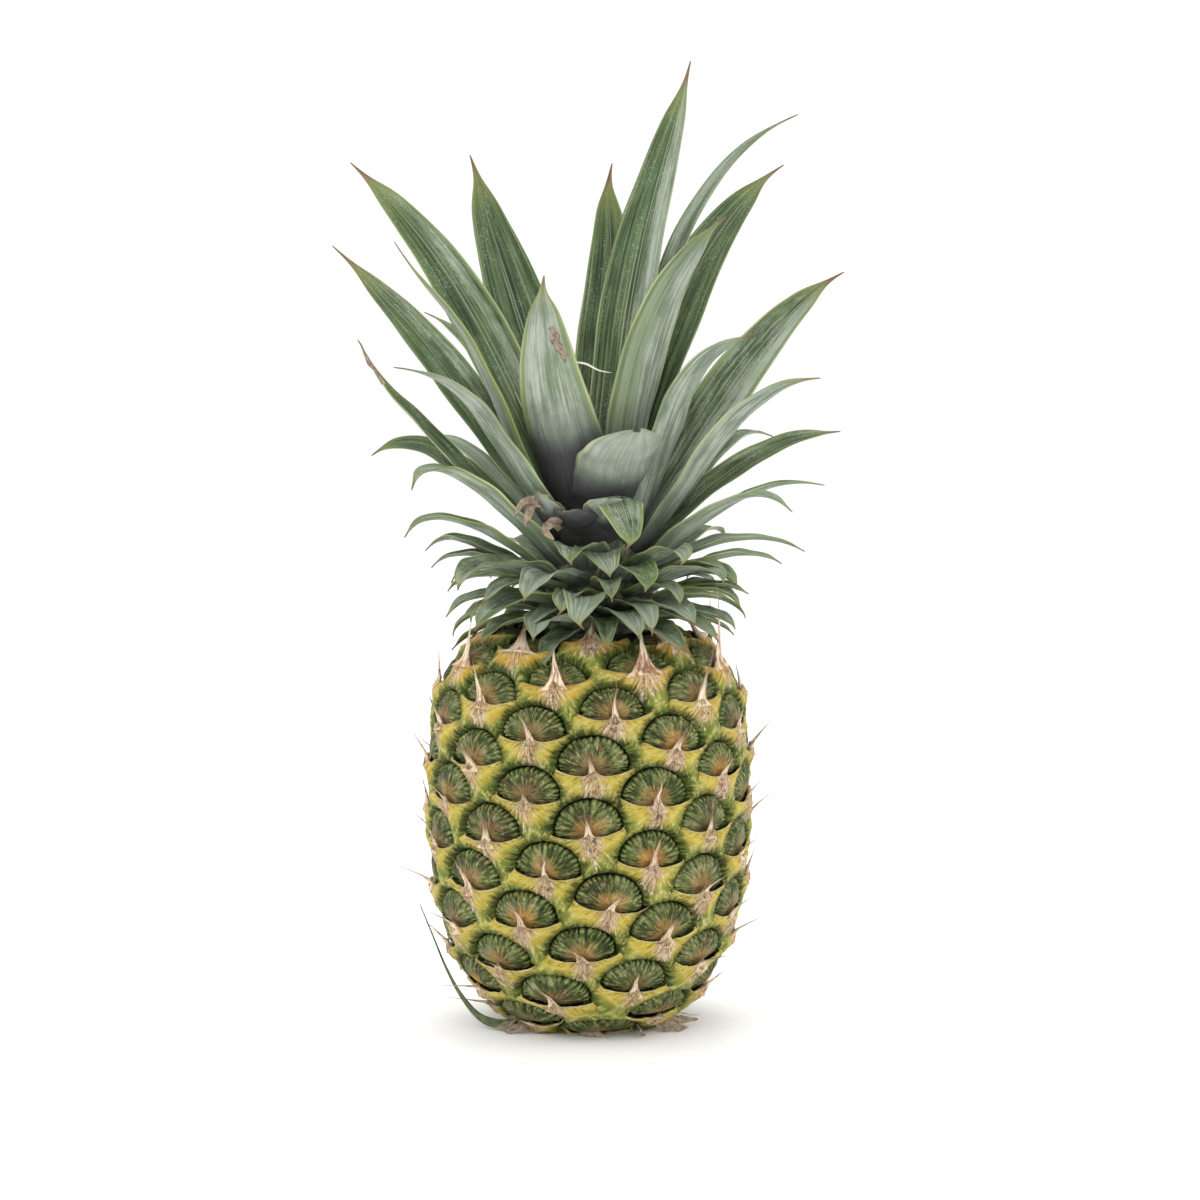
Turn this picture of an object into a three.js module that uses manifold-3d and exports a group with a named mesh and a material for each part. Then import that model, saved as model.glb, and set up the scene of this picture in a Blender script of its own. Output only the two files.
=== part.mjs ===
// A fresh pineapple that stands on its cut base: the fruit, the short stem inside its crown,
// the leaves of the crown and the strap leaf left at the cut. Millimetres, +Z up, origin at the
// middle of the flat base.
import * as THREE from 'three';
import { mergeVertices } from 'three/addons/utils/BufferGeometryUtils.js';
import Module from 'manifold-3d';

// Driving dimensions
const fruitRadius = 62.5; // at the widest, over the eyes
const fruitHeight = 156;
const widestHeight = 88;
const shoulderReach = 70; // height over which the upper half would close
const shoulderPower = 3.5;
const bellyReach = 92; // depth over which the lower half would close
const bellyPower = 2.5;
const eyeArea = 608; // rind covered by one eye, square millimetres
const eyeTurn = -137.83; // degrees from one eye to the next
const firstEyeTurn = 150;
// Eight rows of eyes wind down to the right, and each has slipped a little along itself.
const rowSlips = [-0.19, -0.19, -0.19, -0.16, -0.25, 0.09, 0.13, -0.52]; // in eyes
const rowTurn = 22.4; // degrees from one eye to the next in its row
const rowFall = 11.8;
const eyeRelief = 3.6; // groove to crown of an eye
const stemRadius = 22;
const stemHeight = 47;
const stemOffset = 4; // the crown sits a little to one side
const gap = 0.3; // clearance between pieces that touch
const leafThickness = 1.7;

const wasm = await Module();
wasm.setup();

// Solids

function solidOf(geometry) {
  const bare = geometry.clone();
  bare.deleteAttribute('normal');
  bare.deleteAttribute('uv');
  const merged = mergeVertices(bare, 1e-3);
  return new wasm.Manifold(
    new wasm.Mesh({
      numProp: 3,
      vertProperties: merged.attributes.position.array,
      triVerts: new Uint32Array(merged.index.array),
    }),
  );
}

function geometryOf(solid) {
  const mesh = solid.getMesh();
  const geometry = new THREE.BufferGeometry();
  geometry.setAttribute('position', new THREE.BufferAttribute(mesh.vertProperties, 3));
  geometry.setIndex(new THREE.BufferAttribute(mesh.triVerts, 1));
  geometry.computeVertexNormals();
  return geometry;
}

function largestBody(solid) {
  const bodies = solid.decompose();
  return bodies.reduce((best, body) => (body.volume() > best.volume() ? body : best));
}

// The fruit

// Barrel outline: two superellipse quarters that meet at the widest height.
function barrelRadius(height) {
  const above = height > widestHeight;
  const reach = above ? shoulderReach : bellyReach;
  const power = above ? shoulderPower : bellyPower;
  const share = Math.min(Math.abs(height - widestHeight) / reach, 1);
  return fruitRadius * (1 - share ** power) ** (1 / power);
}

// Eyes follow one spiral, each with the same share of the rind.
function eyeSpiral() {
  const eyes = [];
  const step = 0.5;
  let covered = eyeArea * 0.89;
  for (let height = step; height < fruitHeight; height += step) {
    const slope = (barrelRadius(height) - barrelRadius(height - step)) / step;
    covered += 2 * Math.PI * barrelRadius(height) * Math.hypot(1, slope) * step;
    while (covered > eyeArea) {
      covered -= eyeArea;
      const slip = rowSlips[eyes.length % rowSlips.length];
      const turn = firstEyeTurn + eyeTurn * eyes.length + rowTurn * slip;
      const slipped = THREE.MathUtils.clamp(height - rowFall * slip, 0, fruitHeight);
      const radius = barrelRadius(slipped);
      eyes.push({ turn: THREE.MathUtils.degToRad(turn), height: slipped, radius });
    }
  }
  return eyes;
}

// 1 over the middle of an eye, falling to 0 in the groove between eyes.
function eyeSwell(eyes, turn, height) {
  const spacing = Math.sqrt(eyeArea);
  let nearest = Infinity;
  for (const eye of eyes) {
    const around = Math.atan2(Math.sin(turn - eye.turn), Math.cos(turn - eye.turn)) * eye.radius;
    nearest = Math.min(nearest, Math.hypot(around, height - eye.height) / spacing);
  }
  return Math.max(0, 1 - (nearest / 0.62) ** 2);
}

function makeFruit() {
  const rows = 26;
  const segments = 44;
  const outline = [new THREE.Vector2(0, 0)];
  for (let i = 0; i <= rows; i++) {
    const height = fruitHeight * (0.5 - 0.5 * Math.cos((Math.PI * i) / rows));
    outline.push(new THREE.Vector2(barrelRadius(height), height));
  }
  outline.push(new THREE.Vector2(0, fruitHeight));
  const geometry = new THREE.LatheGeometry(outline, segments).rotateX(Math.PI / 2);
  const eyes = eyeSpiral();
  const place = geometry.attributes.position;
  for (let i = 0; i < place.count; i++) {
    const radius = Math.hypot(place.getX(i), place.getY(i));
    const height = place.getZ(i);
    const turn = Math.atan2(place.getY(i), place.getX(i));
    const onRind = radius > 1 && height > 1 && height < fruitHeight - 1;
    const sunk = onRind ? eyeRelief * (1 - eyeSwell(eyes, turn, height)) : 0;
    const scale = radius > 1 ? (radius - sunk) / radius : 1;
    place.setXY(i, place.getX(i) * scale, place.getY(i) * scale);
  }
  return solidOf(geometry);
}

// The crown stem

const stemFoot = fruitHeight + gap;

function stemSurface(share) {
  return stemRadius * Math.sqrt(1 - share ** 2.2);
}

function makeStem(grow) {
  const outline = [new THREE.Vector2(0, -grow)];
  const rings = 9;
  for (let i = 0; i < rings; i++) {
    const share = i / rings;
    const rise = i === 0 ? -grow : stemHeight * share;
    outline.push(new THREE.Vector2(stemSurface(share) + grow, rise));
  }
  outline.push(new THREE.Vector2(0, stemHeight + grow));
  const geometry = new THREE.LatheGeometry(outline, 24).rotateX(Math.PI / 2);
  return solidOf(geometry.translate(stemOffset, 0, stemFoot));
}

// The leaves

// Each leaf leaves the stem at a compass turn and a share of the stem's height, and bends in its
// own upright plane to a tip that lies `out` from the stem's axis and `up` from the table.
// lift and dip are the slopes in degrees where it starts and where it ends, roll twists the blade,
// flick turns the last of the tip up, bow sets how far the starting slope carries, channel is the
// rise of the margins over the midline as a share of the half width, and fullness is how far along
// the blade stays wide.
const leaves = [
  // upright leaves of the heart
  { turn: 45, share: 0.93, out: 52, up: 376, lift: 86, dip: 66, width: 25, roll: 20 },
  { turn: 82, share: 0.9, out: 35, up: 336, lift: 84, dip: 84, width: 26 },
  { turn: 20, share: 0.86, out: 82, up: 355, lift: 80, dip: 22, width: 13, roll: 20 },
  { turn: 42, share: 0.82, out: 95, up: 335, lift: 80, dip: 36, width: 25, roll: 40 },
  { turn: 325, share: 0.84, out: 58, up: 317, lift: 84, dip: 40, width: 22, roll: -30 },
  { turn: 130, share: 0.84, out: 78, up: 339, lift: 71, dip: 76, width: 29, roll: -30 },
  { turn: 240, share: 0.8, out: 43, up: 295, lift: 72, dip: 88, width: 30 },
  { turn: 286, share: 0.74, out: 50, up: 192, lift: 84, dip: -86, width: 21, bow: 0.95, channel: -0.2 },
  // spreading leaves
  { turn: 155, share: 0.78, out: 110, up: 336, lift: 64, dip: 36, width: 23, roll: -50 },
  { turn: 168, share: 0.72, out: 106, up: 298, lift: 50, dip: 30, width: 20, roll: -50, flick: 6 },
  { turn: 205, share: 0.76, out: 86, up: 296, lift: 46, dip: 18, width: 12, flick: 12 },
  { turn: 195, share: 0.62, out: 95, up: 258, lift: 32, dip: 34, width: 15, roll: -30, flick: 12 },
  { turn: 215, share: 0.66, out: 92, up: 261, lift: 48, dip: 6, width: 18 },
  { turn: 25, share: 0.7, out: 105, up: 293, lift: 54, dip: 32, width: 23, roll: 50 },
  { turn: 335, share: 0.7, out: 66, up: 272, lift: 66, dip: 10, width: 19, roll: -20 },
  { turn: 340, share: 0.6, out: 91, up: 256, lift: 50, dip: 4, width: 17, roll: -20 },
  { turn: 5, share: 0.58, out: 95, up: 232, lift: 46, dip: 2, width: 16, roll: 30 },
  { turn: 352, share: 0.5, out: 88, up: 213, lift: 36, dip: -12, width: 15 },
  { turn: 332, share: 0.48, out: 83, up: 205, lift: 40, dip: -48, width: 16 },
  { turn: 12, share: 0.42, out: 83, up: 184, lift: 30, dip: -30, width: 15 },
  { turn: 348, share: 0.34, out: 73, up: 183, lift: 26, dip: -26, width: 15 },
  { turn: 184, share: 0.54, out: 89, up: 224, lift: 42, dip: -34, width: 18, roll: -30 },
  { turn: 206, share: 0.5, out: 79, up: 213, lift: 48, dip: -80, width: 22 },
  { turn: 192, share: 0.42, out: 77, up: 193, lift: 38, dip: -62, width: 18 },
  // short leaves of the collar, curled down over the shoulder
  { turn: 210, share: 0.34, out: 62, up: 174, lift: 40, dip: -84, width: 27 },
  { turn: 178, share: 0.34, out: 66, up: 179, lift: 28, dip: -50, width: 14 },
  { turn: 195, share: 0.2, out: 62, up: 162, lift: 20, dip: -52, width: 16 },
  { turn: 222, share: 0.2, out: 63, up: 160, lift: 24, dip: -60, width: 22 },
  { turn: 257, share: 0.5, out: 50, up: 186, lift: 52, dip: -84, width: 24 },
  { turn: 272, share: 0.54, out: 46, up: 181, lift: 56, dip: -84, width: 24 },
  { turn: 240, share: 0.36, out: 55, up: 172, lift: 40, dip: -80, width: 24 },
  { turn: 290, share: 0.4, out: 54, up: 176, lift: 46, dip: -80, width: 24 },
  { turn: 262, share: 0.24, out: 60, up: 163, lift: 26, dip: -70, width: 24 },
  { turn: 284, share: 0.14, out: 60, up: 159, lift: 16, dip: -56, width: 22 },
  { turn: 309, share: 0.4, out: 54, up: 185, lift: 42, dip: -70, width: 22 },
  { turn: 322, share: 0.28, out: 60, up: 177, lift: 30, dip: -60, width: 20 },
  { turn: 305, share: 0.16, out: 62, up: 163, lift: 16, dip: -50, width: 20 },
  { turn: 352, share: 0.2, out: 59, up: 170, lift: 20, dip: -34, width: 16 },
  { turn: 332, share: 0.1, out: 60, up: 159, lift: 12, dip: -40, width: 17 },
  { turn: 244, share: 0.08, out: 60, up: 158, lift: 12, dip: -46, width: 18 },
  // broken leaf that stands in front of the heart with a blunt, torn end
  { turn: 294, share: 0.8, out: 35, up: 237, lift: 76, dip: 84, width: 34, channel: 0.5, fullness: 9 },
];

// The far side of the crown goes on in the same spiral, ring by ring.
const farRings = [
  { count: 5, from: 28, to: 158, share: 0.1, out: 60, up: 162, lift: 12, dip: -44, width: 18 },
  { count: 4, from: 40, to: 172, share: 0.3, out: 66, up: 182, lift: 28, dip: -50, width: 18 },
  { count: 4, from: 34, to: 150, share: 0.5, out: 84, up: 222, lift: 42, dip: -24, width: 17 },
  { count: 3, from: 66, to: 142, share: 0.66, out: 92, up: 276, lift: 54, dip: 20, width: 18 },
];

function farLeaves() {
  return farRings.flatMap((ring) =>
    Array.from({ length: ring.count }, (_, i) => ({
      ...ring,
      turn: ring.from + ((ring.to - ring.from) * i) / (ring.count - 1),
      out: ring.out + 4 * Math.sin(2.4 * i),
      up: ring.up + 5 * Math.cos(2.4 * i),
    })),
  );
}

// Midline of a leaf in its own plane: x runs out from the axis, y runs up.
function leafMidline(leaf) {
  const lift = THREE.MathUtils.degToRad(leaf.lift);
  const dip = THREE.MathUtils.degToRad(leaf.dip);
  const bow = leaf.bow ?? 0.4;
  const sink = 2;
  const start = new THREE.Vector2(stemSurface(leaf.share) - sink, stemFoot + stemHeight * leaf.share);
  const tip = new THREE.Vector2(leaf.out, leaf.up);
  const span = start.distanceTo(tip);
  const rising = new THREE.Vector2(Math.cos(lift), Math.sin(lift)).multiplyScalar(span * bow);
  const falling = new THREE.Vector2(Math.cos(dip), Math.sin(dip)).multiplyScalar(span * 0.34);
  return new THREE.CubicBezierCurve(start, start.clone().add(rising), tip.clone().sub(falling), tip);
}

// Lance shape: narrow where it leaves the stem, widest at about a third, drawn out to a point.
function bladeWidth(along, fullness) {
  const waist = 0.62 + 0.38 * THREE.MathUtils.smoothstep(along, 0, 0.3);
  return waist * Math.max(1 - along ** fullness, 0) ** 0.9;
}

function makeLeaf(leaf, grow) {
  const acrossSteps = 2;
  const alongSteps = 9;
  const channel = leaf.channel ?? 0.34;
  const pointWidth = 0.9;
  const geometry = new THREE.BoxGeometry(2, 2, 1, acrossSteps, 1, alongSteps).translate(0, 0, 0.5);
  const midline = leafMidline(leaf);
  const roll = THREE.MathUtils.degToRad(leaf.roll ?? 0);
  const turn = THREE.MathUtils.degToRad(leaf.turn);
  const place = geometry.attributes.position;
  for (let i = 0; i < place.count; i++) {
    const across = place.getX(i);
    const along = place.getZ(i);
    const middle = midline.getPoint(along);
    const heading = midline.getTangent(along);
    const endGrow = (along < 0.001 ? -grow : 0) + (along > 0.999 ? grow : 0);
    const half = Math.max(leaf.width * bladeWidth(along, leaf.fullness ?? 2.9), pointWidth) / 2 + grow;
    const thickness = leafThickness * (1 - 0.6 * along) / 2 + grow;
    const side = across * half;
    const lifted = channel * half * across * across + place.getY(i) * thickness;
    const twist = roll * Math.min(along * 2, 1);
    const sideways = side * Math.cos(twist) - lifted * Math.sin(twist);
    const upward = side * Math.sin(twist) + lifted * Math.cos(twist);
    const out = middle.x + heading.x * endGrow - heading.y * upward;
    const flicked = (leaf.flick ?? 0) * Math.max((along - 0.8) / 0.2, 0) ** 2;
    const up = middle.y + heading.y * endGrow + heading.x * upward + flicked;
    place.setXYZ(i, out, sideways, up);
  }
  geometry.rotateZ(turn).translate(stemOffset, 0, 0);
  return solidOf(geometry);
}

// A leaf gives way, with clearance, to the fruit, the stem and every leaf placed before it.
function fitLeaves(kept, obstacles) {
  const blades = [];
  for (const leaf of kept) {
    let blade = makeLeaf(leaf, 0);
    for (const obstacle of obstacles) {
      const shared = blade.intersect(obstacle);
      if (!shared.isEmpty()) blade = largestBody(blade.subtract(obstacle));
    }
    blades.push(blade);
    obstacles.push(makeLeaf(leaf, gap));
  }
  return blades;
}

// The strap leaf at the cut

function makeStalkLeaf() {
  const route = new THREE.CatmullRomCurve3([
    new THREE.Vector3(-28, -22, 4),
    new THREE.Vector3(-36, -19, 3),
    new THREE.Vector3(-43, -16, 5.5),
    new THREE.Vector3(-50, -12, 13),
    new THREE.Vector3(-56, -8, 23),
    new THREE.Vector3(-61.5, -5, 35.5),
    new THREE.Vector3(-66.5, -3, 47),
  ]);
  const section = new THREE.Shape([
    new THREE.Vector2(-0.7, -2.2),
    new THREE.Vector2(0.7, -2.2),
    new THREE.Vector2(0.7, 2.2),
    new THREE.Vector2(-0.7, 2.2),
  ]);
  return solidOf(new THREE.ExtrudeGeometry(section, { steps: 16, extrudePath: route }));
}

// The object

const pineapple = new THREE.Group();

function addPiece(name, solid, color, roughness) {
  const material = new THREE.MeshStandardMaterial({ color, roughness, metalness: 0 });
  const mesh = new THREE.Mesh(geometryOf(solid), material);
  mesh.name = name;
  pineapple.add(mesh);
}

const fruit = makeFruit();
addPiece('fruit_body', fruit, 0x8f8a3c, 0.6);
addPiece('crown_stem', makeStem(0), 0xb9bf8a, 0.8);
const allLeaves = [...leaves, ...farLeaves()];
const blades = fitLeaves(allLeaves, [makeStem(gap), fruit]);
blades.forEach((blade, i) => {
  addPiece(`crown_leaf_${String(i + 1).padStart(2, '0')}`, blade, 0x5f7a50, 0.55);
});
addPiece('stalk_leaf', makeStalkLeaf(), 0x3f5238, 0.7);

export default pineapple;
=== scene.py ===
import bisect
import math
import random

import bmesh
import bpy
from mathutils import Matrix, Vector, noise


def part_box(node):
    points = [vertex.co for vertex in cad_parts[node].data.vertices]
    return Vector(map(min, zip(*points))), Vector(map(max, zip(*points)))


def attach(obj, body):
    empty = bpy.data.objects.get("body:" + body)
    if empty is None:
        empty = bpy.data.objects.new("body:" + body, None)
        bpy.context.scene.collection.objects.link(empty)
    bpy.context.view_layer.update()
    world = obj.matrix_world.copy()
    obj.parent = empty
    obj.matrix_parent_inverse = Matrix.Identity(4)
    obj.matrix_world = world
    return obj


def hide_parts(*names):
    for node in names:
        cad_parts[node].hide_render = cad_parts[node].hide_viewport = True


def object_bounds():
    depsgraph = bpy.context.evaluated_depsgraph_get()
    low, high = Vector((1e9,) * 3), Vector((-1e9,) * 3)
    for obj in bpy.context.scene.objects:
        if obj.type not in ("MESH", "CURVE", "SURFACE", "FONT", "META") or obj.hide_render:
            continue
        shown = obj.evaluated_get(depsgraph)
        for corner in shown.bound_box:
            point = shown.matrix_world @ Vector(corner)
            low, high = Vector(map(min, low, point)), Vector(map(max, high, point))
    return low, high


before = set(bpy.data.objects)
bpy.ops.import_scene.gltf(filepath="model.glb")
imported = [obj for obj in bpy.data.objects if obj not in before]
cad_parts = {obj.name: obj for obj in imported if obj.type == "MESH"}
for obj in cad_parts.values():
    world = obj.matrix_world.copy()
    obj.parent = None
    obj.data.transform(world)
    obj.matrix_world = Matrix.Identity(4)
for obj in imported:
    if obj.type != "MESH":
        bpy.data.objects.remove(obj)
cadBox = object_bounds()

mm = 0.001  # the shapes below are drawn in millimetres
crownAxis = 4  # the crown grows a little to one side of the fruit's axis
floorGap = 0.05  # nothing comes nearer to the floor than this


def mix(start, end, share):
    return start + (end - start) * share


def ease(value, low, high):
    # 0 below low, 1 above high, and a smooth rise between
    share = min(max((value - low) / (high - low), 0), 1)
    return share * share * (3 - 2 * share)


def lump(x, y, z):
    return noise.noise(Vector((x, y, z)))


def tone(red, green, blue):
    # a colour as seen, 0 to 255, made linear for the shader
    def linear(level):
        level /= 255
        return level / 12.92 if level <= 0.04045 else ((level + 0.055) / 1.055) ** 2.4

    return (linear(red), linear(green), linear(blue), 1)


def tones(**seen):
    # the colours of one finish, by name
    return {name: tone(*levels) for name, levels in seen.items()}


# Materials

class Wire:
    # one output of a material's nodes, so that sums on it add Math nodes
    def __init__(self, finish, socket):
        self.finish = finish
        self.socket = socket

    def maths(self, operation, first, second=0):
        return self.finish.add("ShaderNodeMath", {"operation": operation}, {0: first, 1: second})

    def __add__(self, other):
        return self.maths("ADD", self, other)

    def __radd__(self, other):
        return self.maths("ADD", other, self)

    def __sub__(self, other):
        return self.maths("SUBTRACT", self, other)

    def __rsub__(self, other):
        return self.maths("SUBTRACT", other, self)

    def __mul__(self, other):
        return self.maths("MULTIPLY", self, other)

    def __rmul__(self, other):
        return self.maths("MULTIPLY", other, self)

    def __truediv__(self, other):
        return self.maths("DIVIDE", self, other)

    def __pow__(self, other):
        return self.maths("POWER", self, other)

    def size(self):
        return self.maths("ABSOLUTE", self)

    def angle(self, other):
        return self.maths("ARCTAN2", self, other)

    def rise(self, low, high):
        # 0 at low, 1 at high, smooth between; low may be the larger
        settings = {"interpolation_type": "SMOOTHSTEP"}
        inputs = {"Value": self, "From Min": low, "From Max": high}
        return self.finish.add("ShaderNodeMapRange", settings, inputs)


class Finish:
    # a material: fixed values go straight on the shader, and what varies is wired in
    def __init__(self, name, hues=None, **fixed):
        self.hues = hues
        self.material = bpy.data.materials.new(name)
        self.material.use_nodes = True
        self.nodes = self.material.node_tree.nodes
        self.links = self.material.node_tree.links
        self.shader = self.nodes["Principled BSDF"]
        self.colour = None
        for socketName, value in fixed.items():
            self.shader.inputs[socketName.replace("_", " ")].default_value = value

    def add(self, kind, settings=None, inputs=None, output=0):
        node = self.nodes.new(kind)
        for name, value in (settings or {}).items():
            setattr(node, name, value)
        for key, value in (inputs or {}).items():
            self.feed(node.inputs[key], value)
        return Wire(self, node.outputs[output])

    def feed(self, socket, value):
        if isinstance(value, Wire):
            self.links.new(value.socket, socket)
        else:
            socket.default_value = value

    def wire(self, socketName, value):
        self.feed(self.shader.inputs[socketName], value)

    def place(self):
        return self.add("ShaderNodeTexCoord", output="Object")

    def parts(self, vector):
        node = self.nodes.new("ShaderNodeSeparateXYZ")
        self.feed(node.inputs[0], vector)
        return [Wire(self, output) for output in node.outputs]

    def layer(self, name):
        # the three numbers that the mesh carries under one name
        settings = {"attribute_name": name}
        return self.parts(self.add("ShaderNodeAttribute", settings, output="Vector"))

    def joined(self, x, y, z):
        return self.add("ShaderNodeCombineXYZ", inputs={0: x, 1: y, 2: z})

    def grain(self, vector, scale, detail=4, roughness=0.55):
        inputs = {"Vector": vector, "Scale": scale, "Detail": detail, "Roughness": roughness}
        return self.add("ShaderNodeTexNoise", inputs=inputs)

    def blend(self, under, over, share):
        # each colour is a wire, a colour, or the name of one of this finish's own
        under, over = [self.hues[tint] if isinstance(tint, str) else tint for tint in (under, over)]
        inputs = {0: share, 6: under, 7: over}
        return self.add("ShaderNodeMix", {"data_type": "RGBA"}, inputs, output=2)

    def paint(self, tint, share):
        # lay a colour over what is there already
        self.colour = self.blend(self.colour, tint, share)

    def bump(self, height, strength, distance):
        inputs = {"Height": height, "Strength": strength, "Distance": distance}
        self.wire("Normal", self.add("ShaderNodeBump", inputs=inputs))


dome = {
    "sheet": (26, 26),
    "halfWidth": 13.2,
    "reachUp": 10.9,
    "reachDown": 6.2,
    "middle": 2.4,
    "crowding": 1.35,  # draws the sheet's rows together at the rim
    "wallHeight": 4.3,
    "wallPower": 14,
    "swell": 0.9,
    "valley": 0.45,
    "valleyAt": 0.8,
    "valleyWidth": 0.07,
    "wrinkles": 34,
    "wrinkleDepth": 0.42,
    "crimp": 0.016,
    "lobes": 0.06,
    "creases": (-0.34, 0.3),
    "creaseDepth": 0.35,
    "lumps": 0.5,
    "footSink": 1.5,
}

domeTones = tones(
    deep=(46, 60, 26), fresh=(108, 120, 56), grey=(140, 136, 104), brown=(126, 94, 72),
    bloom=(190, 196, 146), streak=(28, 40, 16), straw=(206, 172, 122), gold=(212, 158, 76),
    rust=(134, 88, 66), cream=(226, 204, 168), crest=(158, 172, 96), fold=(24, 38, 16),
    wall=(28, 40, 18),
)


def makeDomeFinish():
    # the fused sepals over each eye: dark green, wrinkled towards the rim, warm by the spine
    look = Finish("eye dome", domeTones, Roughness=0.5, Specular_IOR_Level=0.2)
    x, y, _ = look.layer("local")  # millimetres from the foot of the spine
    luck, warmth, _ = look.layer("trait")
    rim, ripple, _ = look.layer("field")
    where = look.place()
    spokes = look.joined(x.angle(y - 1) * 5.5, rim * 1.6, luck * 40)
    streaks = look.grain(spokes, 1.5, detail=5, roughness=0.68)
    fleck = look.grain(where, 560, roughness=0.7)
    cloud = look.grain(where, 120, roughness=0.6)

    green = (streaks + (cloud - 0.5) * 0.6).rise(0.36, 0.66)
    look.colour = look.blend("deep", "fresh", green)
    look.paint("grey", cloud.rise(0.46, 0.66) * fleck.rise(0.36, 0.56) * 0.7)
    look.paint("brown", cloud.rise(0.5, 0.34) * fleck.rise(0.4, 0.58) * luck * 0.9)
    # pale flecks on the streaks near the rim: waxy bloom, with a painted highlight along the
    # wrinkles
    bloom = streaks.rise(0.51, 0.62) * fleck.rise(0.42, 0.58) * rim.rise(0.25, 0.7)
    look.paint("bloom", bloom * 0.65)
    look.paint("streak", streaks.rise(0.46, 0.32) * rim.rise(0.3, 0.75) * 0.9)
    # dry warm patch where the spine comes up
    nearSpine = 1.05 - ((x / 7.5) ** 2 + ((y - 2) / 6.5) ** 2) ** 0.5
    ragged = nearSpine + (fleck - 0.5) * 0.9 + (streaks - 0.5) * 2 + (cloud - 0.5)
    warm = ragged.rise(0, 0.9)
    look.paint(look.blend("straw", "gold", warmth), warm * (0.12 + warmth * 0.85))
    look.paint("rust", warm * fleck.rise(0.5, 0.6) * 0.75)
    look.paint("cream", warm * streaks.rise(0.56, 0.66) * fleck.rise(0.5, 0.36) * 0.6)
    # crimped rim: painted highlight on the crests, painted shade in the folds and on the wall below
    crest = ripple.rise(-0.1, 0.9) * rim.rise(0.78, 0.9) * fleck.rise(0.3, 0.5)
    look.paint("crest", crest * 0.8)
    look.paint("fold", ripple.rise(-0.1, -0.9) * rim.rise(0.7, 0.88) * 0.8)
    look.paint("wall", rim.rise(0.965, 1.0))
    look.wire("Base Color", look.colour)
    look.wire("Roughness", 0.4 + fleck * 0.3)
    look.bump(streaks * 1.2 + fleck * 0.8, 1, 0.0013)
    return look.material


bractTones = tones(
    yellow=(212, 186, 70), amber=(226, 166, 62), lightGreen=(136, 146, 56), green=(100, 118, 44),
    cream=(236, 218, 136), olive=(112, 108, 36), margin=(56, 68, 28), crimp=(142, 154, 72),
    fold=(34, 46, 18), crest=(222, 212, 124), dry=(214, 182, 150), fibre=(240, 226, 200),
    rust=(132, 84, 76), speck=(84, 54, 58), lip=(236, 220, 166), wall=(26, 38, 17),
)


def makeBractFinish():
    # the star under each dome: yellow wings with green margins, a pale lip and a dry middle
    look = Finish("eye bract", bractTones, Roughness=0.55, Specular_IOR_Level=0.22)
    x, y, _ = look.layer("local")
    luck, warmth, height = look.layer("trait")
    near, ridge, lip = look.layer("field")
    where = look.place()
    fleck = look.grain(where, 620, roughness=0.7)
    cloud = look.grain(where, 170, roughness=0.6)
    raised = y - 1.5
    reach = (x * x + raised ** 2) ** 0.5
    spokes = look.joined(raised.angle(x) * 8, reach * 0.16, luck * 40)
    fibre = look.grain(spokes, 1.3, detail=5, roughness=0.7)

    yellow = look.blend("yellow", "amber", height.rise(0.78, 1) * 0.8)
    green = look.blend("lightGreen", "green", luck)
    down = reach * 0.75 - y * 0.55 + (cloud - 0.5) * 10 + (fibre - 0.5) * 18
    look.colour = look.blend(yellow, green, down.rise(8, 15))
    margin = (near + (fibre - 0.5) * 0.5 + (cloud - 0.5) * 0.3).rise(1.3, 1.06)
    look.paint("cream", fibre.rise(0.52, 0.62) * (1 - margin) * 0.6)
    look.paint("olive", fibre.rise(0.48, 0.37) * 0.7)
    look.paint("margin", margin * 0.85)
    # crimps that run out from the nearest dome: painted highlight on their crests, painted shade in
    # their folds
    aroundX, aroundY, aroundLuck = look.layer("around")
    aroundAngle = aroundX.angle(aroundY - dome["middle"])
    spread = look.joined(aroundAngle * 6.5, near * 1.2, aroundLuck * 40)
    crimp = look.grain(spread, 1.5, detail=3, roughness=0.6)
    beside = near.rise(1.45, 1.1)
    look.paint("crimp", crimp.rise(0.52, 0.64) * beside * 0.7)
    look.paint("fold", crimp.rise(0.48, 0.38) * beside * 0.75)
    look.paint("crest", ridge * fleck.rise(0.3, 0.5) * near.rise(1.12, 1.2) * 0.7)
    # dry middle, fibrous and speckled where the old flower was
    middle = 1.25 - ((x / 4.8) ** 2 + ((y + 3) / 7.5) ** 2) ** 0.5
    dry = (middle + (fibre - 0.5) * 2.6 + (cloud - 0.5) * 1.2).rise(0.1, 0.8)
    look.paint("dry", dry * (0.45 + warmth * 0.5))
    look.paint("fibre", dry * fibre.rise(0.52, 0.6) * 0.85)
    look.paint("rust", dry * fibre.rise(0.49, 0.4) * 0.85)
    look.paint("speck", dry * fleck.rise(0.5, 0.6) * cloud.rise(0.4, 0.56) * 0.75)
    # pale lip along the upper edge
    look.paint("lip", lip.rise(0.4, 0.9) * (x.size() * -1).rise(-17, -12) * 0.85)
    # painted shade where the bract drops into the groove beside the domes
    look.paint("wall", near.rise(1.06, 1.0))
    look.wire("Base Color", look.colour)
    look.wire("Roughness", 0.45 + fleck * 0.3)
    look.bump(fibre * 1.6 + fleck * 0.7 + crimp * beside * 1.4, 1, 0.0013)
    return look.material


spineTones = tones(
    brown=(146, 100, 78), straw=(238, 220, 190), amber=(212, 160, 88), point=(112, 72, 42),
)


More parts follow.
